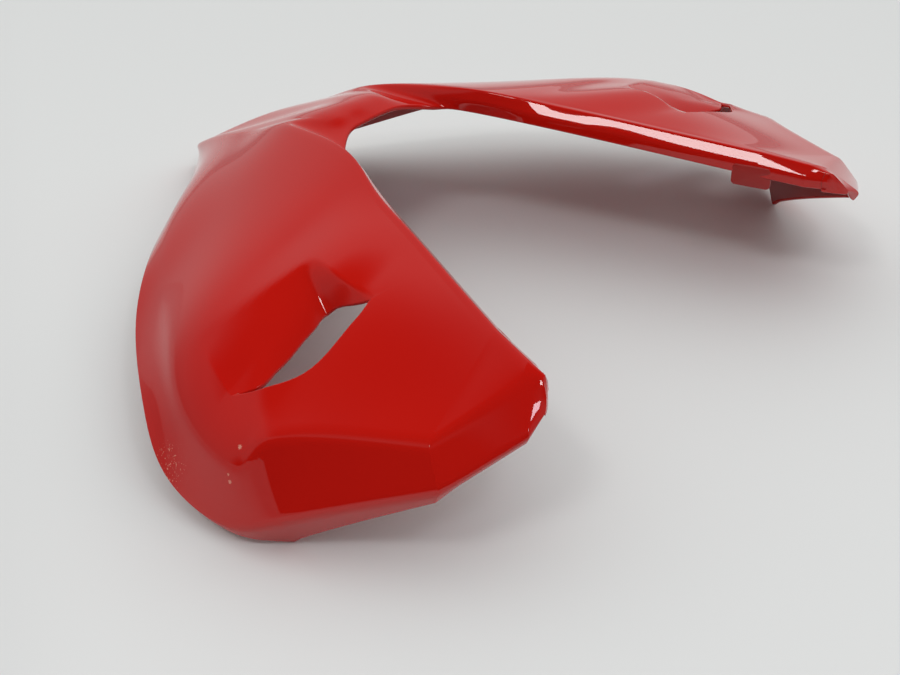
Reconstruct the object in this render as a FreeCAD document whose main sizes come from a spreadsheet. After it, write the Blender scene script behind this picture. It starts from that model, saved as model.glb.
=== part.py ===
import FreeCAD, Part
import os

V = FreeCAD.Vector
doc = FreeCAD.newDocument("headlight_cowl")
sheet = doc.addObject("Spreadsheet::Sheet", "Sizes")

# Eleven sections fan around the opening, from the nose on the centre plane to the tip of a wing.
# Each holds three points of one half in mm: the crease beside the opening, the shoulder and the rim.
# x is measured from the centre plane, y from the nose towards the rider, z from the ground.
sections = [
    ("nose", (0, 2, 14.5), (0, 1, 8), (0, 0, 0)),
    ("beak", (17, 40, 39), (43, 54, 34), (61, 54, 16)),
    ("brow", (27, 85, 61.5), (88, 95, 47), (118, 107.5, 36)),
    ("crest", (33, 120, 79), (126.5, 144, 53), (158.5, 145.5, 32)),
    ("corner", (47, 173, 89), (157, 182.5, 61), (194.5, 195.5, 29)),
    ("cheek", (64, 209.5, 87), (186, 222, 62), (209.5, 228.5, 14.5)),
    ("flank", (77, 243, 85), (198, 262, 51), (209, 266, 9)),
    ("nub", (89, 275, 83), (184, 286, 54), (196, 296.5, 22.5)),
    ("heel", (106.5, 322, 80), (159.5, 334.5, 60.7), (165.6, 345.9, 45)),
    ("toe", (113.3, 345.3, 78.7), (118, 349.1, 76.2), (130.9, 362.7, 61.6)),
    ("tip", (113.2, 354.4, 77.3), (114.6, 357, 74.8), (119.6, 361.6, 67.2)),
]
sizes = [
    ("wall", 2.6, "moulded wall"),
    ("bay_y", 149.5, "bottom of the opening, from the nose"),
    ("bay_z", 82, "bottom edge of the opening over the ground"),
    ("top_y", 133, "top of the hood, from the nose"),
    ("top_z", 88, "top of the hood over the ground"),
    ("land", 8.2, "flat beside the opening, outside the roll"),
    ("flange", 11, "height of the rolled flange"),
    ("roll_cut", 6.5, "how far the roll rounds back from its corner"),
    ("hood_cut", 30, "how far the hood top rounds back"),
    ("crease_cut", 5, "rounding of the nose crease"),
    ("shoulder_soft", 80, "rounding of the shoulder at the front"),
    ("shoulder_crisp", 4.5, "rounding of the shoulder at the rear"),
    ("lip_cut", 3.5, "rounding of the lower lip crease"),
    ("lip_height", 26, "lower lip where it ends in the nub"),
    ("lip_least", 2, "lower lip at the tip"),
    ("vent_in_x", 118.6, "inner end of the vent"),
    ("vent_in_y", 264.2, "inner end of the vent"),
    ("vent_out_x", 184.5, "outer end of the vent"),
    ("vent_out_y", 245.5, "outer end of the vent"),
    ("scoop_depth", 12.5, "deepest part of the scoop"),
    ("scoop_run", 38, "length of the scoop ahead of the vent"),
    ("ridge_at", 0.1, "share of the vent chord where the scoop wall starts"),
    ("ridge_run", 26, "distance ahead of the chord over which the wall draws back to the vent"),
    ("fold_at", 0.2, "share of the vent chord where the wall meets the floor"),
    ("vent_below", 20, "start of the vent cut over the ground"),
    ("crown", 8, "swelling of the side panel around the vent"),
    ("tip_bulge", 1.5, "how far the end wall of the tip bulges"),
    ("tab_length", 20, "fixing tab along the flange"),
    ("tab_drop", 8, "fixing tab below the flange"),
    ("tab_thick", 3, "fixing tab thickness"),
    ("tab_y", 310, "front end of the fixing tab, from the nose"),
    ("corner_back", 4, "flange edge behind the roll, where the opening turns into the wing"),
    ("tip_edge_out", 2.5, "flange edge drawn out to the side at the tip"),
    ("tip_edge_up", 1.5, "flange edge drawn up at the tip"),
]
# the two edges of the vent, as distances ahead of its chord at every tenth of it
floor_ahead = (0, 8.5, 15, 12.5, 9.5, 6.1, 2.8, 0, -2.8, -2, 0)
rear_ahead = (0, -4.2, -7, -9.8, -12.4, -14.2, -14.5, -13, -10.6, -7, 0)
for i in range(1, 10):
    sizes.append(("floor_edge_%d" % i, floor_ahead[i], "scoop floor edge ahead of the vent chord"))
    sizes.append(("rear_edge_%d" % i, rear_ahead[i], "rear vent edge ahead of the vent chord"))
for name, crease, shoulder, rim in sections:
    for part, point in (("crease", crease), ("shoulder", shoulder), ("rim", rim)):
        for axis, value in zip("xyz", point):
            if value or axis != "x":
                sizes.append((name + "_" + part + "_" + axis, value, part + " of the " + name + " section"))
for row, (name, value, note) in enumerate(sizes, 1):
    sheet.set("A%d" % row, name)
    sheet.set("B%d" % row, str(value))
    sheet.set("C%d" % row, note)
    sheet.setAlias("B%d" % row, name)
doc.recompute()
size = {name: float(sheet.get(name)) for name, value, note in sizes}
names = [s[0] for s in sections]
CORNER, HEEL = names.index("corner"), names.index("heel")
LAST = len(sections) - 1


def read_points(part):
    return [V(*(size.get(s[0] + "_" + part + "_" + axis, 0.0) for axis in "xyz")) for s in sections]


def cubic(values, level=False):
    # a cubic through evenly spaced values, natural at both ends or level at the start
    n = len(values)
    c, d = [0.0] * n, [0.0] * n
    if level:
        c[0], d[0] = 0.5, 3 * (values[1] - values[0])
    for i in range(1, n - 1):
        c[i] = 1.0 / (4.0 - c[i - 1])
        d[i] = (6 * (values[i - 1] - 2 * values[i] + values[i + 1]) - d[i - 1]) * c[i]
    m = [0.0] * n
    for i in range(n - 2, -1, -1):
        m[i] = d[i] - m[i + 1] * c[i]

    def at(t):
        i = max(0, min(int(t), n - 2))
        b = t - i
        a = 1 - b
        return (values[i] * a + values[i + 1] * b
                + m[i] * (a ** 3 - a) / 6 + m[i + 1] * (b ** 3 - b) / 6)
    return at


def guide(points, level):
    # a smooth curve up to the heel, straight from there to the tip; a level one has no crease
    # where it crosses the centre plane
    front = points[:HEEL + 1]
    x = cubic([p.x for p in front])
    y, z = cubic([p.y for p in front], level), cubic([p.z for p in front], level)

    def at(s):
        if s <= HEEL:
            return V(x(s), y(s), z(s))
        i = min(int(s), LAST - 1)
        return points[i] + (points[i + 1] - points[i]) * (s - i)
    return at


def smooth(t):
    t = max(0.0, min(1.0, t))
    return t * t * (3 - 2 * t)


crease_points, shoulder_points, rim_points = (read_points(p) for p in ("crease", "shoulder", "rim"))
roll_points, edge_points = [], []
for i, p in enumerate(crease_points):
    if i <= 3:
        t = i / 3.0
        far = crease_points[3]
        roll_points.append(V(far.x * 0.91 * t, size["top_y"] + (far.y - size["top_y"]) * t * t,
                             size["top_z"] + (far.z - size["top_z"]) * t * t))
    else:
        land = size["land"] * {CORNER: 0.75, LAST: 0.6}.get(i, 1)
        roll_points.append(p + V(-land, -0.2 * land, 0.15 * land))
for i, p in enumerate(roll_points):
    if i < CORNER:
        t = i / float(CORNER)
        end = roll_points[CORNER]
        edge_points.append(V(end.x * (0.92 * t + 0.08 * t ** 4),
                             size["bay_y"] + (end.y + size["corner_back"] - size["bay_y"]) * t ** 4,
                             size["bay_z"] + (end.z - size["flange"] - 1 - size["bay_z"]) * t ** 3))
    else:
        edge_points.append(p + V(-1.2, 1, -size["flange"] * (0.9 if i >= LAST - 1 else 1)))
edge_points[LAST] = edge_points[LAST] + V(size["tip_edge_out"], 0, size["tip_edge_up"])
guides = [guide(edge_points, True), guide(roll_points, True), guide(crease_points, True),
          guide(shoulder_points, False), guide(rim_points, False)]


def lip(s):
    # the lower lip grows to a pointed nub, then runs out towards the tip
    if s < 7:
        share = (max(0.0, s - 5.5) / 1.5) ** 1.8
    else:
        share = max(1 - 2 * (s - 7), 0.33 + 0.6 * (8.0 - s))
    least = 0.3 + size["lip_least"] * (smooth((s - 5.5) / 0.5) + 1.3 * smooth((s - 7.5) / 0.5))
    return max(least, size["lip_height"] * share) * (1 - 0.9 * smooth(s - 9))


def crown(s, f):
    # swelling of the panel at share f of the way from crease to shoulder, tallest ahead of the vent
    along = smooth((s - 4.6) / 1.1) * (1 - 0.35 * smooth((s - 5.7) / 0.7)) * (1 - smooth((s - 6.3) / 1.9))
    hump = f ** 1.2 * (1 - f) ** 1.8 / 0.1328
    return V(0.3, 0, 0.95) * (size["crown"] * hump * along)


def cuts(s):
    # how far each corner of a section is rounded back
    hood = smooth((s - 2.2) / 1.4)
    crisp = smooth((s - 4.8) / 1.9)
    shoulder = size["shoulder_soft"] * (1 - crisp) + size["shoulder_crisp"] * crisp
    return [0, size["hood_cut"] * (1 - hood) + size["roll_cut"] * hood, size["crease_cut"], shoulder,
            size["lip_cut"] * smooth((s - 5.5) / 1.0) + 0.3, 0]


vent_in = V(size["vent_in_x"], size["vent_in_y"], 0)
vent_out = V(size["vent_out_x"], size["vent_out_y"], 0)
along = vent_out - vent_in
vent_length = along.Length
along = along * (1 / vent_length)
ahead = V(along.y, -along.x, 0)


def vent_point(share, reach):
    return vent_in + along * (share * vent_length) + ahead * reach


floor_curve = cubic([0] + [size["floor_edge_%d" % i] for i in range(1, 10)] + [0])
rear_curve = cubic([0] + [size["rear_edge_%d" % i] for i in range(1, 10)] + [0])


def scoop(p):
    # depth of the scoop under the plain skin at a point of the side panel
    rel = V(p.x, p.y, 0) - vent_in
    share, reach = rel.dot(along) / vent_length, rel.dot(ahead)
    if not 0 < share < 1:
        return 0.0
    rear, front = rear_curve(10 * share), floor_curve(10 * share)
    if reach < rear or reach > size["scoop_run"]:
        return 0.0
    ridge = size["ridge_at"] * smooth(reach / size["ridge_run"])
    rise = (1 - share) / (1 - size["fold_at"])
    across = max(0.0, min((share - ridge) / (size["fold_at"] - ridge), rise * (2 - rise)))
    if reach < front:
        fall = (reach - rear) / (front - rear)
    else:
        fall = (size["scoop_run"] - reach) / (size["scoop_run"] - front)
    return size["scoop_depth"] * across * fall


# where the points of a section sit on its five legs, as shares of each leg
legs = [
    [0, 0.45, 0.75, 1],
    [0.15, 0.5, 0.85, 1],
    [0.05, 0.12, 0.2, 0.27, 0.33, 0.38, 0.42, 0.46, 0.52, 0.6, 0.68, 0.76, 0.84, 0.92, 0.965, 1],
    [0.05, 0.15, 0.35, 0.65, 0.9, 1],
    [0.4, 1],
]


def section(s):
    corners = [g(s) for g in guides]
    corners.append(corners[4] + V(-0.23 * smooth(s - 4.5), -0.42, -0.88) * lip(s))
    cut = cuts(s)
    flat = [0, 0.95 * smooth((s - 3.4) / 0.8), 0, 0, 0, 0]

    def reach(k, length):
        return min(cut[k], (0.56 if k == 1 else 0.44) * length)

    def bend(k, w):
        return w * (w + flat[k] * (1 - w))

    out = []
    for k, shares in enumerate(legs):
        a, b = corners[k], corners[k + 1]
        leg = b - a
        length = leg.Length
        start, stop = reach(k, length), reach(k + 1, length)
        for f in shares:
            p = a + leg * f
            d0, d1 = f * length, (1 - f) * length
            if k > 0 and d0 < start:
                prev = corners[k - 1] - a
                w = 0.5 * (1 + d0 / start)
                p = (a + prev * (reach(k, prev.Length) / prev.Length * bend(k, 1 - w))
                     + leg * (start / length * bend(k, w)))
            elif k < 4 and d1 < stop:
                nxt = corners[k + 2] - b
                w = 0.5 * (1 - d1 / stop)
                p = (b - leg * (stop / length * bend(k + 1, 1 - w))
                     + nxt * (reach(k + 1, nxt.Length) / nxt.Length * bend(k + 1, w)))
            if k == 2:
                p = p + crown(s, f)
            if k in (2, 3):
                p = p - V(0, 0, scoop(p))
            out.append(p)
    return out


stations = [i / 2.0 for i in range(9)] + [4 + i / 5.0 for i in range(1, 16)]
stations += [7.33, 7.67, 7.9, 8, 8.1, 8.4, 8.7, 9, 9.33, 9.67, LAST]
outer = [section(s) for s in stations]
cols = len(outer[0])

out_of_tip = outer[-1][0] - outer[-2][0]
out_of_tip.normalize()
rows = len(outer)
inner = []
for i in range(rows):
    line = []
    for j in range(cols):
        du = outer[min(i + 1, rows - 1)][j] - outer[max(i - 1, 0)][j]
        dv = outer[i][min(j + 1, cols - 1)] - outer[i][max(j - 1, 0)]
        n = dv.cross(du)
        n.normalize()
        if i == 0:
            n = V(0, n.y, n.z)
            n = n * (1 / max(n.Length, 0.45) ** 2)
        line.append(outer[i][j] - n * size["wall"])
    inner.append(line)
inner[-1] = [p - out_of_tip * size["wall"] for p in inner[-1]]


def close_tip(grid):
    # an end wall, from the last section down to the line between its two lower edges
    last = grid[-1]
    run = [0.0]
    for j in range(1, cols):
        run.append(run[-1] + (last[j] - last[j - 1]).Length)
    for share in (0.1, 0.4, 0.75, 1):
        wall_row = []
        for j in range(cols):
            way = run[j] / run[-1]
            foot = last[0] + (last[-1] - last[0]) * way
            bulge = size["tip_bulge"] * share * (0.5 + 2 * way * (1 - way))
            wall_row.append(last[j] + (foot - last[j]) * share + out_of_tip * bulge)
        grid.append(wall_row)


close_tip(outer)
close_tip(inner)


def knots(count, degree):
    inside = count - degree - 1
    return [degree + 1] + [1] * inside + [degree + 1], [float(k) for k in range(inside + 2)]


def skin(grid, degree):
    um, uk = knots(len(grid), degree)
    vm, vk = knots(len(grid[0]), 3)
    surface = Part.BSplineSurface()
    surface.buildFromPolesMultsKnots(grid, um, vm, uk, vk, False, False, degree, 3)
    return surface.toShape()


def rim_strip(a, b):
    return skin([a, b], 1)


faces = [skin(outer, 3), skin(inner, 3),
         rim_strip([r[0] for r in outer], [r[0] for r in inner]),
         rim_strip([r[-1] for r in outer], [r[-1] for r in inner]),
         rim_strip(outer[0], inner[0]), rim_strip(outer[-1], inner[-1])]
shell = Part.makeShell(faces)
shell.sewShape(0.001)
solid = Part.makeSolid(shell)
if solid.Volume < 0:
    solid.reverse()
box = solid.optimalBoundingBox()
shift = V(0, -0.5 * (box.YMin + box.YMax), -box.ZMin)
half = doc.addObject("Part::Feature", "half_shell")
half.Shape = solid
half.Placement.Base = shift

# the vent is a lens cut straight through between the scoop floor and the rear edge
rear_edge = Part.BSplineCurve()
rear_edge.interpolate([vent_point(i / 10.0, rear_curve(i)) for i in range(11)])
floor_edge = Part.BSplineCurve()
floor_edge.interpolate([vent_point(i / 10.0, floor_curve(i)) for i in range(10, -1, -1)])
lens = doc.addObject("Part::Feature", "vent_outline")
lens.Shape = Part.Wire([rear_edge.toShape(), floor_edge.toShape()])
lens.Placement.Base = shift + V(0, 0, size["vent_below"])
vent = doc.addObject("Part::Extrusion", "vent_cutter")
vent.Base = lens
vent.DirMode = "Custom"
vent.Dir = V(0, 0, 1)
vent.Solid = True
vent.setExpression("LengthFwd", "Sizes.top_z")
vented = doc.addObject("Part::Cut", "vented_half")
vented.Base = half
vented.Tool = vent

# a flat fixing tab carries on down from the flange near the tip
low, high = guides[0](HEEL - 0.35), guides[0](HEEL + 0.15)
tab = doc.addObject("Part::Box", "fixing_tab")
tab.setExpression("Length", "Sizes.tab_thick")
tab.setExpression("Width", "Sizes.tab_length")
tab.setExpression("Height", "Sizes.tab_drop + Sizes.wall")
start = low + (high - low) * ((size["tab_y"] - low.y) / (high.y - low.y))
tab.Placement = FreeCAD.Placement(shift + start - V(0, 0, size["tab_drop"]),
                                  FreeCAD.Rotation(V(0, 1, 0), V(high.x - low.x, high.y - low.y, 0)))
side = doc.addObject("Part::MultiFuse", "left_side")
side.Shapes = [vented, tab]

doc.recompute()
other = doc.addObject("Part::Mirroring", "other_half")
other.Source = side
other.Normal = V(1, 0, 0)
cowl = doc.addObject("Part::MultiFuse", "headlight_cowl")
cowl.Label = "headlight_cowl"
cowl.Shapes = [side, other]
doc.recompute()

for obj in doc.Objects:
    bad = [state for state in obj.State if state in ("Invalid", "Error")]
    if bad or (hasattr(obj, "Shape") and (obj.Shape.isNull() or not obj.Shape.isValid())):
        raise RuntimeError(obj.Name + " did not build")
os.makedirs("parts", exist_ok=True)
cowl.Shape.exportStep("parts/headlight_cowl.step")
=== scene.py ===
# %% [markdown]
# The cowl over a motorbike's headlight is one thin moulding of plastic, sprayed red and clear-coated.
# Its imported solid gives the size, the place and the camera's aim. The skin that is seen is made again
# here as a fine grid, because a gloss paint shows every facet of a coarse one.

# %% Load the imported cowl
import math

import bpy
import numpy as np
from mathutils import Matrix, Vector


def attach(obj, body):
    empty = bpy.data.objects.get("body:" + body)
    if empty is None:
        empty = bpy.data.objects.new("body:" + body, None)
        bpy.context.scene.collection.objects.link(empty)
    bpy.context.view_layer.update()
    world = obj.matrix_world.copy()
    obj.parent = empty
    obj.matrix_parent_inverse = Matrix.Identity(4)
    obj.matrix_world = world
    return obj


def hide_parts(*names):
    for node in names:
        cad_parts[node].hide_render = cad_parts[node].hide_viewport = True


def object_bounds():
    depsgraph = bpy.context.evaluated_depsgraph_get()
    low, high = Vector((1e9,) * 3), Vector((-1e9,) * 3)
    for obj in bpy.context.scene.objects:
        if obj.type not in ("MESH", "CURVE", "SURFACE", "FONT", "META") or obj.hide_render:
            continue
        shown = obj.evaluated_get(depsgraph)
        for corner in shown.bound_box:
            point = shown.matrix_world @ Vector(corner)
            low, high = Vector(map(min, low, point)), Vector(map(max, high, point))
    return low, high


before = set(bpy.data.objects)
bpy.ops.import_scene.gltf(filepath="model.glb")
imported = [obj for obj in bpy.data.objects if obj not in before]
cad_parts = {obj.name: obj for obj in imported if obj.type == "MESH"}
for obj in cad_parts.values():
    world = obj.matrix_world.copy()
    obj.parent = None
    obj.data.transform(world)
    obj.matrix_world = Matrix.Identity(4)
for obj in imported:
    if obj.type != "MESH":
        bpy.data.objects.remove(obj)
cad_low, cad_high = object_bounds()
MM = 0.001
print("packed box in mm:", [round(v / MM, 1) for v in (*cad_low, *cad_high)])

# %% [markdown]
# The skin hangs on five guide lines that run from the nose round the opening to the tip of a wing:
# the flange's lower edge, the top of its roll, the crease, the shoulder and the rim. Eleven sections
# hold them, with x from the centre plane, y from the nose and z from the ground, all in millimetres.
# Only three lines are written down, because the roll and the edge follow the crease.

# %% The eleven sections
SECTIONS = {
    "nose": ((0, 2, 14.5), (0, 1, 8), (0, 0, 0)),
    "beak": ((17, 40, 39), (43, 54, 34), (61, 54, 16)),
    "brow": ((27, 85, 61.5), (88, 95, 47), (118, 107.5, 36)),
    "crest": ((33, 120, 79), (126.5, 144, 53), (158.5, 145.5, 32)),
    "corner": ((47, 173, 89), (157, 182.5, 61), (194.5, 195.5, 29)),
    "cheek": ((64, 209.5, 87), (186, 222, 62), (209.5, 228.5, 14.5)),
    "flank": ((77, 243, 85), (198, 262, 51), (209, 266, 9)),
    "nub": ((89, 275, 83), (184, 286, 54), (196, 296.5, 22.5)),
    "heel": ((106.5, 322, 80), (159.5, 334.5, 60.7), (165.6, 345.9, 45)),
    "toe": ((113.3, 345.3, 78.7), (118, 349.1, 76.2), (130.9, 362.7, 61.6)),
    "tip": ((113.2, 354.4, 77.3), (114.6, 357, 74.8), (119.6, 361.6, 67.2)),
}
NAMES = list(SECTIONS)
CORNER, NUB, HEEL, TIP = (NAMES.index(name) for name in ("corner", "nub", "heel", "tip"))
BAY_Y, BAY_Z = 149.5, 82
TOP_Y, TOP_Z = 133, 88
LAND, FLANGE = 8.2, 11
INWARD = np.array((-1, -0.2, 0.15))
EDGE_BACK, TIP_EDGE = 4, (2.5, 0, 1.5)
CREASE, SHOULDER, RIM = (np.array([SECTIONS[n][k] for n in NAMES], float) for k in range(3))


def roll_and_edge():
    """The roll is a parabola over the hood and stands LAND inside the crease behind it; the edge is
    the bottom of the opening in front and hangs FLANGE below the roll behind."""
    land = np.full((len(NAMES), 1), LAND)
    land[CORNER], land[TIP] = 0.75 * LAND, 0.6 * LAND
    roll = CREASE + land * INWARD
    t = np.linspace(0, 1, CORNER)[:, None]
    top, far = np.array((0, TOP_Y, TOP_Z)), CREASE[CORNER - 1] * (0.91, 1, 1)
    roll[:CORNER] = top + (far - top) * np.hstack((t, t ** 2, t ** 2))
    edge = roll + (-1.2, 1, -FLANGE)
    edge[TIP - 1:, 2] += 0.1 * FLANGE
    edge[TIP] += TIP_EDGE
    t = np.arange(CORNER)[:, None] / CORNER
    bay, end = np.array((0, BAY_Y, BAY_Z)), roll[CORNER] + (0, EDGE_BACK, -FLANGE - 1)
    edge[:CORNER] = bay + (end - bay) * np.hstack((0.92 * t + 0.08 * t ** 4, t ** 4, t ** 3))
    return roll, edge


ROLL, EDGE = roll_and_edge()
print("sections:", len(NAMES), "from", NAMES[0], "to", NAMES[-1])

# %% [markdown]
# A natural cubic through the sections gives each guide its sweep, as a thin batten would on a
# lofting floor. Behind the heel the panel is cut straight, so there the guides are straight too.

# %% Guide lines as functions of the section number


def smooth(t):
    """0 below 0, 1 above 1, and an S-curve between."""
    t = np.clip(t, 0, 1)
    return t * t * (3 - 2 * t)


def second_of(values, level=False):
    """Second derivatives of the cubic through evenly spaced values: zero at both ends, or with level
    such that the curve starts level and its mirror image carries it on smoothly."""
    n = len(values)
    bend = np.eye(n) * 4 + np.eye(n, k=1) + np.eye(n, k=-1)
    bend[0], bend[-1] = np.eye(n)[0], np.eye(n)[-1]
    right = np.zeros_like(values)
    right[1:-1] = 6 * (values[:-2] - 2 * values[1:-1] + values[2:])
    if level:
        bend[0, :2] = 4, 2
        right[0] = 12 * (values[1] - values[0])
    return np.linalg.solve(bend, right)


def guide(points, level):
    """A function of section number: the cubic up to the heel, straight pieces behind it. With level,
    y and z cross the centre plane level, so that the hood is smooth there."""
    second = second_of(points[:HEEL + 1])
    if level:
        second[:, 1:] = second_of(points[:HEEL + 1, 1:], True)

    def at(s):
        i = np.clip(np.floor(s).astype(int), 0, TIP - 1)
        b = (s - i)[..., None]
        a = 1 - b
        line = points[i] * a + points[i + 1] * b
        j = np.minimum(i, HEEL - 1)
        curve = second[j] * (a ** 3 - a) / 6 + second[j + 1] * (b ** 3 - b) / 6
        return np.where((i < HEEL)[..., None], line + curve, line)
    return at


GUIDES = [guide(p, k < 3) for k, p in enumerate((EDGE, ROLL, CREASE, SHOULDER, RIM))]
print("guide lines:", len(GUIDES))

# %% [markdown]
# Under the rim hangs a lip that grows to a nub. The corners of a section are rounded, widely over the
# hood and tightly along the rear shoulder, because a mould gives no sharp edge. The panel also swells
# a little round its vent. All of it is told as plain functions of the section number.

# %% Lip, roundings and swelling
LIP_HEIGHT, LIP_LEAST = 26, 2
HOOD_CUT, ROLL_CUT, CREASE_CUT, LIP_CUT = 30, 6.5, 5, 3.5
SHOULDER_SOFT, SHOULDER_CRISP = 80, 4.5


def lip(s):
    """Height of the lower lip: it grows as a power to the pointed nub, falls in two straight slopes to
    the heel and runs out on the last stretch to the tip."""
    rise = (np.clip(s - 5.5, 0, None) / 1.5) ** 1.8
    fall = np.maximum(1 - 2 * (s - NUB), 0.33 + 0.6 * (HEEL - s))
    share = np.where(s < NUB, rise, fall)
    least = 0.3 + LIP_LEAST * (smooth((s - 5.5) / 0.5) + 1.3 * smooth((s - 7.5) / 0.5))
    return np.maximum(least, LIP_HEIGHT * share) * (1 - 0.9 * smooth(s - HEEL - 1))


def corner(k, s):
    """Corner k of the sections: the five guides, then the bottom of the lip under the rim."""
    if k < 5:
        return GUIDES[k](s)
    return GUIDES[4](s) + np.array((-0.23, -0.42, -0.88)) * lip(s)[..., None]


def cut(k, s):
    """How far corner k is rounded back, in millimetres: S-curves lead from the front's size to the rear's."""
    hood, crisp = smooth((s - 2.2) / 1.4), smooth((s - 4.8) / 1.9)
    return [
        0 * s,
        HOOD_CUT * (1 - hood) + ROLL_CUT * hood,
        CREASE_CUT + 0 * s,
        SHOULDER_SOFT * (1 - crisp) + SHOULDER_CRISP * crisp,
        LIP_CUT * smooth((s - 5.5) / 1.0) + 0.3,
        0 * s,
    ][k]


CROWN = 8


def crown(s, f):
    """Swelling of the panel around the vent: a hump f ** 1.2 * (1 - f) ** 1.8 from crease to shoulder,
    tallest at 2/5 of the way and just ahead of the vent."""
    along = smooth((s - 4.6) / 1.1) * (1 - 0.35 * smooth((s - 5.7) / 0.7)) * (1 - smooth((s - 6.3) / 1.9))
    hump = f ** 1.2 * (1 - f) ** 1.8 / 0.1328 * along
    return CROWN * hump[..., None] * np.array((0.3, 0, 0.95))


print("lip at the nub: %.0f mm" % lip(np.array(float(NUB))))

# %% One leg of a section


def size_of(v):
    """Length of each vector: the root of its squares' sum."""
    return np.linalg.norm(v, axis=-1, keepdims=True)


def chamfer(k, s):
    """1 where corner k is cut flat and 0 where it is rounded: the roll behind the hood is mostly flat."""
    return (0.95 * smooth((s - 3.4) / 0.8) if k == 1 else 0 * s)[..., None]


def bend(w, flat):
    """A weight that grows as the square of w on a round corner and as w on a flat one."""
    return w * (w + flat * (1 - w))


def cut_back(k, s, length):
    """The cut of corner k, kept to its part of a leg of the given length."""
    return np.minimum(cut(k, s)[..., None], (0.56 if k == 1 else 0.44) * length)


def leg(k, s, f):
    """Points at share f of the leg from corner k to corner k + 1. Near a corner the straight leg
    gives way to a curve that starts and ends one cut away from that corner."""
    a, b = corner(k, s), corner(k + 1, s)
    way = b - a
    length = size_of(way)
    swell = crown(s, f) if k == 2 else 0
    f = f[..., None]
    out = a + way * f
    if k > 0:
        back = corner(k - 1, s) - a
        long = size_of(back)
        start, reach, flat = cut_back(k, s, length), cut_back(k, s, long), chamfer(k, s)
        w = 0.5 * (1 + f * length / start)
        curve = a + back * (reach / long * bend(1 - w, flat)) + way * (start / length * bend(w, flat))
        out = np.where(f * length < start, curve, out)
    if k < 4:
        on = corner(k + 2, s) - b
        long = size_of(on)
        stop, reach, flat = cut_back(k + 1, s, length), cut_back(k + 1, s, long), chamfer(k + 1, s)
        w = 0.5 * (1 - (1 - f) * length / stop)
        curve = b - way * (stop / length * bend(1 - w, flat)) + on * (reach / long * bend(w, flat))
        out = np.where((1 - f) * length < stop, curve, out)
    return out + swell


print("length of the crease from nose to tip: %.0f mm" % size_of(np.diff(CREASE, axis=0)).sum())

# %% [markdown]
# Each side panel has a scoop that leads air to a slit. Seen from above the slit is a lens on a chord.
# Every point of the panel then has two numbers: its share of the chord, and how far it lies ahead of
# it. The floor falls in a straight slope to the slit's front edge, between a short wall near the
# opening and a slow rise towards the side.

# %% The scoop and the slit in chord coordinates
VENT_IN, VENT_OUT = np.array((118.6, 264.2)), np.array((184.5, 245.5))
FLOOR_AHEAD = np.array((0, 8.5, 15, 12.5, 9.5, 6.1, 2.8, 0, -2.8, -2, 0))
SKIN_AHEAD = np.array((0, -4.2, -7, -9.8, -12.4, -14.2, -14.5, -13, -10.6, -7, 0))
SCOOP_DEPTH, SCOOP_RUN = 12.5, 38
RIDGE_AT, RIDGE_RUN, FOLD_AT = 0.1, 26, 0.2
FOLD = 0.04
VENT_LENGTH = np.linalg.norm(VENT_OUT - VENT_IN)
ALONG = (VENT_OUT - VENT_IN) / VENT_LENGTH
AHEAD = np.array((ALONG[1], -ALONG[0]))


def chord(p):
    """(share along the slit's chord, distance ahead of it) of points seen from above."""
    rel = p[..., :2] - VENT_IN
    return rel @ ALONG / VENT_LENGTH, rel @ AHEAD


def edge_curve(values):
    """A function of share: the natural cubic through values spaced evenly over the chord, 0 beyond."""
    second = second_of(values)

    def at(share):
        n = len(values) - 1
        s = np.clip(share, 0, 1) * n
        i = np.minimum(s.astype(int), n - 1)
        b = s - i
        a = 1 - b
        curve = second[i] * (a ** 3 - a) / 6 + second[i + 1] * (b ** 3 - b) / 6
        return values[i] * a + values[i + 1] * b + curve
    return at


floor_edge, skin_edge = edge_curve(FLOOR_AHEAD), edge_curve(SKIN_AHEAD)


def hinge(t, soft):
    """0 below 0 and t above it, with the corner rounded over about soft."""
    return 0.5 * (t + np.sqrt(t * t + soft * soft)) - 0.5 * soft * np.exp(-np.abs(t) / soft)


def scoop(p):
    """Depth of the scoop: across the panel it grows from the ridge to the fold and fades to the side,
    and along the bike it grows in a straight slope from SCOOP_RUN ahead of the chord to the edge."""
    share, ahead = chord(p)
    ridge = RIDGE_AT * smooth(ahead / RIDGE_RUN)
    wall = hinge((share - ridge) / (FOLD_AT - ridge), FOLD)
    rise = hinge((1 - share) / (1 - FOLD_AT), 0.5 * FOLD)
    rise = rise * (2 - rise)
    across = 0.5 * (wall + rise - np.sqrt((wall - rise) ** 2 + 4 * FOLD * FOLD * wall))
    fall = hinge((SCOOP_RUN - ahead) / (SCOOP_RUN - floor_edge(share)), FOLD)
    return SCOOP_DEPTH * np.clip(across, 0, None) * np.minimum(fall, 1)


print("slit chord: %.1f mm" % VENT_LENGTH)

# %% [markdown]
# The grid's columns run along the guides and its rows along the sections. A hole in a grid usually
# needs a boolean, which leaves slivers that gloss paint would show. Here one row is bent until it lies
# on the chord, doubled, and pulled apart to the slit's two edges, so the grid itself has the opening.

# %% Columns of the grid


def spread(n, first=True, last=True):
    """n + 1 shares from 0 to 1, packed towards the ends that are named."""
    u = np.linspace(0, 1, n + 1)
    if first and last:
        return 0.5 - 0.5 * np.cos(np.pi * u)
    return 1 - np.cos(0.5 * np.pi * u) if first else np.sin(0.5 * np.pi * u) if last else u


SLIT_ROW = 6.0
trial_s, trial_f = np.meshgrid(np.linspace(4.8, 7.4, 521), np.linspace(0.01, 0.99, 197), indexing="ij")


def crossing(s, level):
    """Section number where level first falls below 0 down each column of a trial grid."""
    i = np.clip(np.argmax(level < 0, axis=0), 1, None)
    j = np.arange(level.shape[1])
    a, b = level[i - 1, j], level[i, j]
    return s[i - 1, j] + (s[i, j] - s[i - 1, j]) * a / (a - b)


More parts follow.
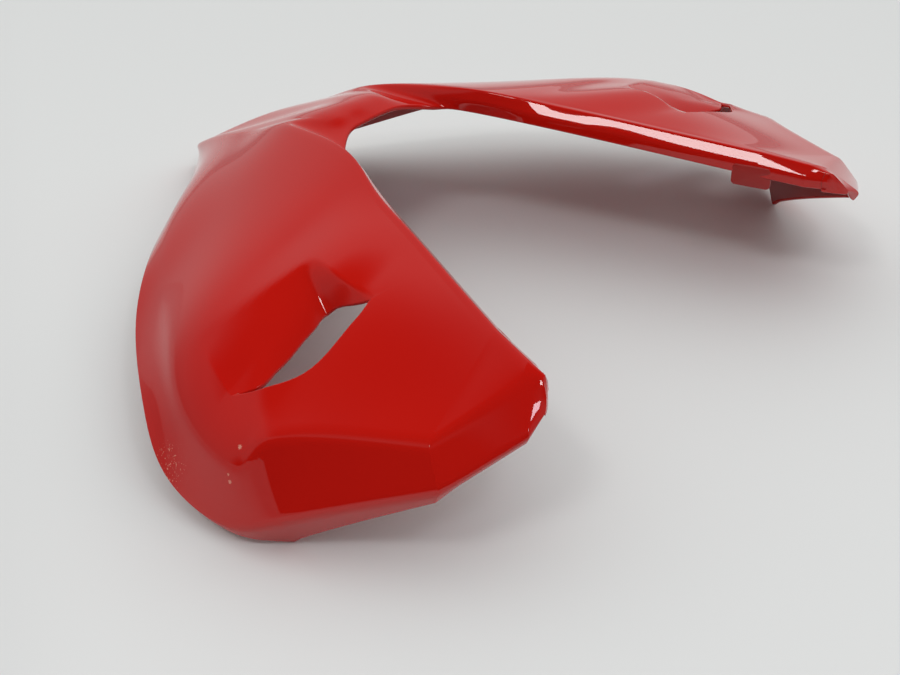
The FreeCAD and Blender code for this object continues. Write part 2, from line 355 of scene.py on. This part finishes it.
_, trial_ahead = chord(leg(2, trial_s, trial_f))
chord_s = crossing(trial_s, trial_ahead)
chord_share, _ = chord(leg(2, chord_s[None], trial_f[:1]))
f_in, f_out = np.interp((0, 1), chord_share[0], trial_f[0])
panel = np.concatenate([
    f_in * spread(22, last=False)[:-1],
    np.interp(np.linspace(0, 0.25, 13)[:-1], chord_share[0], trial_f[0]),
    np.interp(np.linspace(0.25, 1, 27)[:-1], chord_share[0], trial_f[0]),
    f_out + (1 - f_out) * spread(14, first=False),
])
LEGS = [spread(10), spread(14), panel, spread(30), spread(8)]
leg_of = np.concatenate([np.full(len(f) - (k > 0), k) for k, f in enumerate(LEGS)])
share_of = np.concatenate([f[(k > 0):] for k, f in enumerate(LEGS)])
columns = len(leg_of)
print("columns:", columns, "slit between shares %.3f and %.3f of the panel" % (f_in, f_out))

# %% Rows of the grid, bent to the slit


def bent_row(edge):
    """Section number of the slit's row in each column, for the edge curve given."""
    s, f = np.meshgrid(np.linspace(4.8, 7.4, 521), panel, indexing="ij")
    share, ahead = chord(leg(2, s, f))
    row = crossing(s, ahead - edge(share))
    ease = 1 - smooth(share_of[leg_of == 3] * 1.4)
    tail = np.zeros(np.count_nonzero(leg_of == 4))
    head = np.full(np.count_nonzero(leg_of < 2), row[0] - SLIT_ROW)
    return np.concatenate([head, row[1:] - SLIT_ROW, (row[-1] - SLIT_ROW) * ease, tail])


front_stations = np.concatenate([np.linspace(0, 3, 34)[:-1], 3 + (SLIT_ROW - 3) * spread(46, first=False)])
rear_stations = np.concatenate([
    SLIT_ROW + (NUB - SLIT_ROW) * spread(22, last=False)[:-1], NUB + spread(18)[:-1],
    [HEEL - 0.002, HEEL, HEEL + 0.003], HEEL + spread(12)[1:-1], HEEL + 1 + spread(12)])
bend_in = smooth((front_stations[:, None] - 3.2) / 2.8)
bend_out = 1 - smooth((rear_stations[:, None] - SLIT_ROW) / 1.95)
front_s = front_stations[:, None] + bent_row(floor_edge) * bend_in
rear_s = rear_stations[:, None] + bent_row(skin_edge) * bend_out


def skin(s):
    """The outer skin at the section numbers s, one column per entry of leg_of."""
    parts = []
    for k in range(5):
        pick = leg_of == k
        f = np.broadcast_to(share_of[pick], s[:, pick].shape)
        parts.append(leg(k, s[:, pick], f))
    return np.concatenate(parts, axis=1)


front, rear = skin(front_s), skin(rear_s)
front[..., 2] -= scoop(front) * (leg_of >= 2)
print("rows:", len(front), "+", len(rear))

# %% [markdown]
# The wing's tip ends in a small wall. Its rows slide from the last section down to the straight line
# just under that section's two lower edges, bulging a little on the way.

# %% End wall of the tip
TIP_BULGE, TIP_SKIRT = 1.5, 1.0
last = rear[-1]
out_of_tip = rear[-1, 0] - rear[-4, 0]
out_of_tip /= np.linalg.norm(out_of_tip)
run = np.concatenate([[0], np.cumsum(size_of(np.diff(last, axis=0))[:, 0])])
way = (run / run[-1])[:, None]
foot = last[0] + (last[-1] - last[0]) * way - (0, 0, TIP_SKIRT)
drop = np.array([0.04, 0.1, 0.2, 0.35, 0.55, 0.75, 0.9, 1])[:, None, None]
bulge = TIP_BULGE * np.sin(0.5 * np.pi * np.clip(drop * 2.5, 0, 1)) * 4 * way * (1 - way)
rear = np.concatenate([rear, last + (foot - last) * drop + out_of_tip * bulge])
print("tip direction:", out_of_tip.round(2))

# %% [markdown]
# Now the sheet gets its wall. Shared corners get one number, so the two blocks of rows and the two
# halves are joined. The inner face lies one wall inside the outer one, along its normals, and a
# half-round strip closes every free edge, as on a moulding whose edges were flamed or sanded.

# %% Weld the sheet
WALL = 2.6


def quads(ids):
    """Quads of a block of point numbers, each corner list going round one cell."""
    return np.stack([ids[:-1, :-1], ids[:-1, 1:], ids[1:, 1:], ids[1:, :-1]], axis=-1).reshape(-1, 4)


in_slit = np.zeros(columns, bool)
in_slit[leg_of == 2] = (share_of[leg_of == 2] > f_in + 1e-6) & (share_of[leg_of == 2] < f_out - 1e-6)
front_ids = np.arange(len(front) * columns).reshape(-1, columns)
rear_ids = front_ids.size + np.arange(len(rear) * columns).reshape(-1, columns)
rear_ids[0] = np.where(in_slit, rear_ids[0], front_ids[-1])
points = np.concatenate([front.reshape(-1, 3), rear.reshape(-1, 3)])
half_faces = np.concatenate([quads(front_ids), quads(rear_ids)])

count = len(points)
mirror_ids = count + np.arange(count)
mirror_ids[front_ids[0]] = front_ids[0]
points = np.concatenate([points, points * (-1, 1, 1)])
points[front_ids[0], 0] = 0
faces = np.concatenate([half_faces, mirror_ids[half_faces][:, ::-1]])
used, faces = np.unique(faces, return_inverse=True)
points, faces = points[used], faces.reshape(-1, 4)


def face_normals(points, faces):
    """Normal of each quad, as long as twice its area: the cross product of its two diagonals."""
    return np.cross(points[faces[:, 2]] - points[faces[:, 0]], points[faces[:, 3]] - points[faces[:, 1]])


def point_normals(points, faces):
    """Unit normals of the points, each the sum of its faces' normals weighted by their area."""
    n = face_normals(points, faces)
    total = np.stack([np.bincount(faces.ravel(), np.repeat(n[:, k], 4), len(points)) for k in range(3)], -1)
    return total / np.maximum(size_of(total), 1e-12)


normals = point_normals(points, faces)
top = np.argmax(points[:, 2])
if normals[top, 2] < 0:
    faces, normals = faces[:, ::-1], -normals
# the end wall folds sharply at its corners, so its rows all take the tip's own direction
wall_ids = rear_ids[-len(drop):].ravel()
normals[np.searchsorted(used, wall_ids)] = out_of_tip
normals[np.searchsorted(used, mirror_ids[wall_ids])] = out_of_tip * (-1, 1, 1)
print("outer sheet:", len(points), "points,", len(faces), "faces")

# %% Inner face and rounded edges
EDGE_STEPS = np.radians([30, 60, 90, 120, 150])
EDGE_ROUND = 0.8
ends = np.stack([faces, np.roll(faces, -1, axis=1)], -1).reshape(-1, 2)
key = np.sort(ends, axis=1) @ (len(points), 1)
_, first, times = np.unique(key, return_index=True, return_counts=True)
rim_ends = ends[first[times == 1]]
rim_ids, rim_local = np.unique(rim_ends, return_inverse=True)
rim_local = rim_local.reshape(-1, 2)
outward = np.cross(points[rim_ends[:, 1]] - points[rim_ends[:, 0]], normals[rim_ends].mean(axis=1))
rim_out = np.stack([np.bincount(rim_local.ravel(), np.repeat(outward[:, k], 2)) for k in range(3)], -1)
rim_out /= size_of(rim_out)

inner = points - WALL * normals
middle = points[rim_ids] - 0.5 * WALL * normals[rim_ids]
loops = [middle + 0.5 * WALL * math.cos(t) * normals[rim_ids] + EDGE_ROUND * math.sin(t) * rim_out
         for t in EDGE_STEPS]
outer_count, rim_count = len(points), len(rim_ids)
ladder = [rim_ids] + [2 * outer_count + i * rim_count + np.arange(rim_count) for i in range(len(loops))]
ladder.append(outer_count + rim_ids)
rim_a, rim_b = rim_local.T
strips = [np.stack([step[rim_b], step[rim_a], above[rim_a], above[rim_b]], -1)
          for step, above in zip(ladder[:-1], ladder[1:])]
shell_points = np.concatenate([points, inner, *loops])
shell_faces = np.concatenate([faces, faces[:, ::-1] + outer_count, *strips])
is_inside = np.arange(len(shell_faces)) // len(faces) == 1
print("shell:", len(shell_points), "points,", len(shell_faces), "faces")

# %% [markdown]
# Under the flange near each tip hangs a flat tab for a clip. It is a plate with rounded corners: a
# rounded outline carried through the thickness and drawn in at both faces, then closed by a fan.

# %% Fixing tabs
TAB_LENGTH, TAB_DROP, TAB_THICK, TAB_Y, TAB_CORNER = 20, 8, 3, 310, 2.5
TAB_SINK = 4


def tab_plate(sideways):
    """Points and faces of one tab; sideways is 1 on the left and -1 on the right. The outline is a
    circle whose quarters are pushed apart to the corners of a rectangle."""
    edge = corner(0, np.linspace(HEEL - 0.35, HEEL + 0.15, 51))
    start = np.array([np.interp(TAB_Y, edge[:, 1], edge[:, k]) for k in range(3)])
    along = edge[-1] - edge[0]
    along[2] = 0
    along /= np.linalg.norm(along)
    across = np.array((along[1], -along[0], 0))
    turn = np.radians(np.arange(0, 360, 15))
    tall = TAB_DROP + TAB_SINK
    centre = start + along * TAB_LENGTH / 2 + np.array((0, 0, TAB_SINK - tall / 2))
    flat = np.stack([np.cos(turn), np.sin(turn)], -1)
    square = np.sign(flat.round(9)) * ((TAB_LENGTH / 2 - TAB_CORNER), (tall / 2 - TAB_CORNER))
    steps = [(-0.5, 0.7), (-0.42, 0.92), (-0.3, 1), (0.3, 1), (0.42, 0.92), (0.5, 0.7)]
    rings = []
    for depth, shrink in steps:
        uv = square + flat * TAB_CORNER * shrink
        rings.append(centre + uv[:, :1] * along + uv[:, 1:] * (0, 0, 1) + across * TAB_THICK * (depth + 0.5))
    rings = np.array(rings)
    n = len(turn)
    ids = np.arange(rings.size // 3).reshape(len(steps), n)
    ids = np.concatenate([ids, ids[:, :1]], axis=1)
    centres = np.array([rings[0].mean(0), rings[-1].mean(0)])
    low, high = len(steps) * n, len(steps) * n + 1
    around = quads(ids)
    fan_low = np.stack([ids[0, 1:], ids[0, :-1], np.full(n, low), np.full(n, low)], -1)
    fan_high = np.stack([ids[-1, :-1], ids[-1, 1:], np.full(n, high), np.full(n, high)], -1)
    p = np.concatenate([rings.reshape(-1, 3), centres])
    f = np.concatenate([around, fan_low, fan_high])
    volume = (face_normals(p, f) * (p[f].mean(axis=1) - p.mean(axis=0))).sum()
    f = f if volume > 0 else f[:, ::-1]
    return (p, f) if sideways > 0 else (p * (-1, 1, 1), f[:, ::-1])


tabs = [tab_plate(1), tab_plate(-1)]
offset = len(shell_points)
for tab_points, tab_faces in tabs:
    shell_points = np.concatenate([shell_points, tab_points])
    shell_faces = np.concatenate([shell_faces, tab_faces + offset])
    is_inside = np.concatenate([is_inside, np.ones(len(tab_faces), bool)])
    offset += len(tab_points)
print("tabs:", len(tabs))

# %% [markdown]
# The sections count from the nose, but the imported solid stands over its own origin. One shift carries
# the sheet there. The place goes into the mesh and the object stays at the origin, so that a pattern on
# Object coordinates keeps its place in the export.

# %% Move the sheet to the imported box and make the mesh
CAD_NODE = "headlight_cowl"
low, high = points.min(axis=0), points.max(axis=0)
SHIFT = np.array((0, 0.5 * (cad_low.y + cad_high.y) / MM - 0.5 * (low[1] + high[1]),
                  cad_low.z / MM - low[2] + EDGE_ROUND))


def mesh_object(name, points, faces):
    """An object of quads, then triangles; a quad whose last two corners agree is a triangle."""
    mesh = bpy.data.meshes.new(name)
    thin = faces[:, 2] == faces[:, 3]
    rows = faces[~thin].tolist() + faces[thin, :3].tolist()
    mesh.from_pydata(points.tolist(), [], rows)
    mesh.polygons.foreach_set("use_smooth", np.ones(len(rows), bool))
    obj = bpy.data.objects.new(name, mesh)
    bpy.context.scene.collection.objects.link(obj)
    return obj


cowl = mesh_object("cowl_shell", (shell_points + SHIFT) * MM, shell_faces)
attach(cowl, "root")
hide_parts(CAD_NODE)
print("shift in mm:", SHIFT.round(2), "triangles:", 2 * len(shell_faces))

# %% [markdown]
# Shader sums read best as Python sums. A small class wraps a node's output, and each operator adds
# the Math node that does it. Everything that is not plain arithmetic comes from one method, node().

# %% Shader helper


class Value:
    """An output socket with arithmetic."""

    def __init__(self, paint, socket):
        self.paint, self.socket = paint, socket

    def math(self, operation, *others):
        """The Math node of that operation on this value and the others."""
        settings = {"operation": operation}
        return self.paint.node("ShaderNodeMath", settings, dict(enumerate((self, *others))))

    def __add__(self, other):
        return self.math("ADD", other)

    def __sub__(self, other):
        return self.math("SUBTRACT", other)

    def __rsub__(self, other):
        return self.paint.node("ShaderNodeMath", {"operation": "SUBTRACT"}, {0: other, 1: self})

    def __mul__(self, other):
        return self.math("MULTIPLY", other)

    __radd__, __rmul__ = __add__, __mul__

    def step(self, low, high):
        """0 at low, 1 at high, eased between."""
        settings = {"interpolation_type": "SMOOTHSTEP", "clamp": True}
        inputs = {"Value": self, "From Min": low, "From Max": high}
        return self.paint.node("ShaderNodeMapRange", settings, inputs)


class Paint:
    """A material or a world under construction."""

    def __init__(self, owner, shader="Principled BSDF"):
        self.owner = owner
        owner.use_nodes = True
        self.tree = owner.node_tree
        self.shader = self.tree.nodes[shader]

    def put(self, socket, value):
        """Link a value to a socket, or write a constant on it."""
        if isinstance(value, Value):
            self.tree.links.new(value.socket, socket)
        else:
            socket.default_value = value

    def node(self, kind, settings=None, inputs=None, output=0):
        """A new node's output, after its settings and then its sockets are set."""
        node = self.tree.nodes.new(kind)
        for name, value in (settings or {}).items():
            setattr(node, name, value)
        for name, value in (inputs or {}).items():
            self.put(node.inputs[name], value)
        return Value(self, node.outputs[output])

    def set(self, **values):
        """Set the closing shader's sockets, with _ for the spaces in their names."""
        for name, value in values.items():
            self.put(self.shader.inputs[name.replace("_", " ")], value)

    def place(self):
        """Object coordinates."""
        return self.node("ShaderNodeTexCoord", output="Object")

    def noise(self, scale, detail=2.0):
        """Noise around 0.5 with about scale bumps to the metre."""
        inputs = {"Vector": self.place(), "Scale": scale, "Detail": detail}
        return self.node("ShaderNodeTexNoise", None, inputs)

    def mix(self, factor, a, b):
        """Colour a where factor is 0, colour b where it is 1."""
        return self.node("ShaderNodeMix", {"data_type": "RGBA"}, {0: factor, 6: a, 7: b}, output=2)


print("shader helper ready")

# %% [markdown]
# The finish is a solid red under clear coat: a saturated base, a coat that mirrors the lamps, and the
# faint waviness of sprayed lacquer. The inside was never sprayed and stays a duller moulded red. Wear
# could be painted on an image, but a few spots worked out from their places need none: where one lies,
# the base turns pale and the coat is gone.

# %% Paint and bare plastic
RED = (0.53, 0.007, 0.003, 1)
RED_DEEP = (0.50, 0.006, 0.003, 1)
BARE_RED = (0.36, 0.008, 0.005, 1)
BARE_RED_WORN = (0.42, 0.014, 0.010, 1)
CHIPPED = (0.72, 0.27, 0.2, 1)
SCRATCHES = ((206.5, 227.5, 20), 11)
CHIPS = (((197, 264.2, 43.8), 1.2), ((203.7, 263.9, 29.2), 1.0), ((203.2, 262.6, 32), 0.7))


def spot(paint, at, radius):
    """1 near a place given in the sections' millimetres, 0 beyond the radius: the distance to the place,
    made ragged by noise, and eased over the outer half of the radius."""
    centre = tuple((np.array(at) + SHIFT) * MM)
    inputs = {0: paint.place(), 1: centre}
    gap = paint.node("ShaderNodeVectorMath", {"operation": "DISTANCE"}, inputs, output="Value")
    gap = gap + (paint.noise(1800.0, 2.0) - 0.5) * (1.6 * radius * MM)
    return 1.0 - gap.step(0.5 * radius * MM, radius * MM)


def wear(paint):
    """Fine scratches in one patch of the left side, and a few chips behind it."""
    marks = spot(paint, *SCRATCHES) * paint.noise(1100.0, 1.0).step(0.63, 0.68)
    for at, radius in CHIPS:
        marks = marks + spot(paint, at, radius)
    return marks.step(0.0, 1.0)


def gloss_red():
    """Two close reds in soft clouds, pale where worn, under a coat that a fine noise makes wavy."""
    paint = Paint(bpy.data.materials.new("gloss_red"))
    cloud = paint.noise(9.0)
    peel = paint.noise(420.0, 1.0)
    worn = wear(paint)
    bump = paint.node("ShaderNodeBump", None, {"Strength": 0.05, "Distance": 0.0002, "Height": peel})
    red = paint.mix(cloud.step(0.35, 0.65), RED, RED_DEEP)
    paint.set(Base_Color=paint.mix(worn, red, CHIPPED), Normal=bump, Roughness=0.3 + 0.05 * cloud,
              Specular_IOR_Level=0.0, Coat_Weight=1.0 - 0.8 * worn, Coat_Roughness=0.02, Coat_IOR=1.5)
    return paint.owner


def bare_red():
    """A darker red in soft clouds, with the fine grain of a mould's back face."""
    paint = Paint(bpy.data.materials.new("bare_red"))
    grain = paint.noise(1500.0, 3.0)
    cloud = paint.noise(30.0)
    bump = paint.node("ShaderNodeBump", None, {"Strength": 0.25, "Distance": 0.0002, "Height": grain})
    paint.set(Base_Color=paint.mix(cloud.step(0.4, 0.7), BARE_RED, BARE_RED_WORN), Normal=bump,
              Roughness=0.42 + 0.12 * grain)
    return paint.owner


cowl.data.materials.append(gloss_red())
cowl.data.materials.append(bare_red())
cowl.data.polygons.foreach_set("material_index", is_inside.astype(np.int32))
cowl.data.update()
print("materials:", [m.name for m in cowl.data.materials])

# %% [markdown]
# The camera stands behind the left wing and looks down towards the nose. Its place was worked out in
# the sections' own millimetres, so the same shift carries it into the frame.

# %% Camera
AZIMUTH, ELEVATION = math.radians(131.84), math.radians(33.7)
CAMERA_AT = np.array((499.5, 650.7, 439.0))
FOCAL_PIXELS, PICTURE_WIDTH = 1514.4, 900
AXIS_ABOVE_CENTRE = 38.5

camera_data = bpy.data.cameras.new("camera")
camera = bpy.data.objects.new("camera", camera_data)
bpy.context.scene.collection.objects.link(camera)
bpy.context.scene.camera = camera
camera_data.sensor_width = 36
camera_data.lens = FOCAL_PIXELS / PICTURE_WIDTH * camera_data.sensor_width
camera_data.shift_y = -AXIS_ABOVE_CENTRE / PICTURE_WIDTH
camera.location = (CAMERA_AT + SHIFT) * MM
back = Vector((math.sin(AZIMUTH) * math.cos(ELEVATION), -math.cos(AZIMUTH) * math.cos(ELEVATION),
               math.sin(ELEVATION)))
camera.rotation_mode = "QUATERNION"
camera.rotation_quaternion = (-back).to_track_quat("-Z", "Y")
print("lens: %.1f mm" % camera_data.lens)

# %% [markdown]
# Gloss paint looks like what it mirrors, so floor, lamps and room are part of the finish. The floor is
# a pale sheet. It could be one colour, but then the front of the cowl would mirror it as a bright
# patch with an outline, so painted shade greys it further out, and sooner on the left.

# %% Floor
FLOOR_SIZE = 6.0
# the second floor colour is painted shade, which greys the floor further out
FLOOR_NEAR, FLOOR_SHADED = (0.74, 0.74, 0.73, 1), (0.46, 0.46, 0.46, 1)


def floor_painted_shade(paint):
    """Share of painted shade on the floor: 0 round the cowl and 1 further out: eased over the
    distance from the origin, plus the same over the distance past a straight line on the left, all in metres."""
    place = paint.place()
    reach = paint.node("ShaderNodeVectorMath", {"operation": "LENGTH"}, {0: place}, output="Value")
    x, y = (paint.node("ShaderNodeSeparateXYZ", None, {0: place}, output=k) for k in (0, 1))
    past = x * 0.85 - y * 0.53 - 0.181
    return reach.step(0.5, 1.1) + past.step(0.0, 0.22)


floor_points = FLOOR_SIZE / 2 * np.array([(-1, -1, 0), (1, -1, 0), (1, 1, 0), (-1, 1, 0)])
floor = mesh_object("floor", floor_points + (0, 0, cad_low.z), np.array([[0, 1, 2, 3]]))
floor_paint = Paint(bpy.data.materials.new("pale_floor"))
# the floor greys outward as painted shade, so that the coat mirrors a dimmer room there
floor_paint.set(Base_Color=floor_paint.mix(floor_painted_shade(floor_paint), FLOOR_NEAR, FLOOR_SHADED), Roughness=0.6)
floor.data.materials.append(floor_paint.owner)
print("floor: %.0f m square" % FLOOR_SIZE)

# %% [markdown]
# Two soft boxes light the cowl. The one overhead is large and far off, for the long streak on the far
# flange. The one called window is small, and only the facet at the near tip mirrors it.

# %% Lamps


def soft_box(name, at, aim, size, power, colour=(1, 1, 1)):
    """A rectangular lamp at a place, facing another, all in metres."""
    data = bpy.data.lights.new(name, "AREA")
    data.shape = "RECTANGLE"
    data.size, data.size_y = size
    data.energy = power
    data.color = colour
    lamp = bpy.data.objects.new(name, data)
    bpy.context.scene.collection.objects.link(lamp)
    lamp.location = at
    lamp.rotation_mode = "QUATERNION"
    lamp.rotation_quaternion = (Vector(aim) - Vector(at)).to_track_quat("-Z", "Y")
    return lamp


lamps = [
    soft_box("overhead", (1.675, 0.33, 2.51), (0, 0, 0), (0.66, 0.36), 10),
    soft_box("window", (0.42, 0.925, 1.33), (0.12, 0.17, 0.07), (0.2, 0.2), 1.5, (0.95, 0.9, 1.0)),
]
print("lamps:", [lamp.name for lamp in lamps])

# %% [markdown]
# The room is told by direction alone, in place of walls. What lights the cowl is an open sky, dimmer
# low down on the camera's side. What the coat mirrors is a room with mid-grey walls, a dark ceiling and
# a dark end behind the camera. The Light Path node chooses between the two.

# %% Room
world = bpy.data.worlds.new("room")
bpy.context.scene.world = world
room = Paint(world, "Background")
direction = room.node("ShaderNodeTexCoord", output="Generated")
east, north, height = (room.node("ShaderNodeSeparateXYZ", None, {0: direction}, output=k) for k in range(3))
to_camera = east * 0.87 + north * 0.5

beyond = (east * -0.75 + north * -0.66).step(0.0, 0.7) * (1.0 - height.step(0.0, 0.6))
sky = 0.16 + 0.95 * height.step(-0.1, 0.7) + 0.6 * beyond
shade = to_camera.step(-0.2, 0.6) * (1.0 - height.step(0.35, 0.95))
open_air = sky - sky * 0.9 * shade

horizon = 1.0 - height.step(0.0, 0.3)
far_side = (east * -0.9 + north * -0.43).step(0.2, 0.9)
front_low = (0.0 - north).step(0.6, 0.95) * horizon
wall_level = 0.41 - 0.12 * to_camera.step(-0.75, -0.3) - 0.09 * front_low
below_ceiling = 1.0 - height.step(0.7, 0.92)
walls = 0.04 + wall_level * (1.0 - to_camera.step(0.48, 0.62)) * below_ceiling + 0.2 * far_side * horizon

mirrored = room.node("ShaderNodeLightPath", output="Is Glossy Ray")
room.set(Color=(0.98, 1.0, 1.0, 1), Strength=open_air + mirrored * (walls - open_air))
bpy.context.scene.view_settings.view_transform = "Standard"
print("room nodes:", len(world.node_tree.nodes))
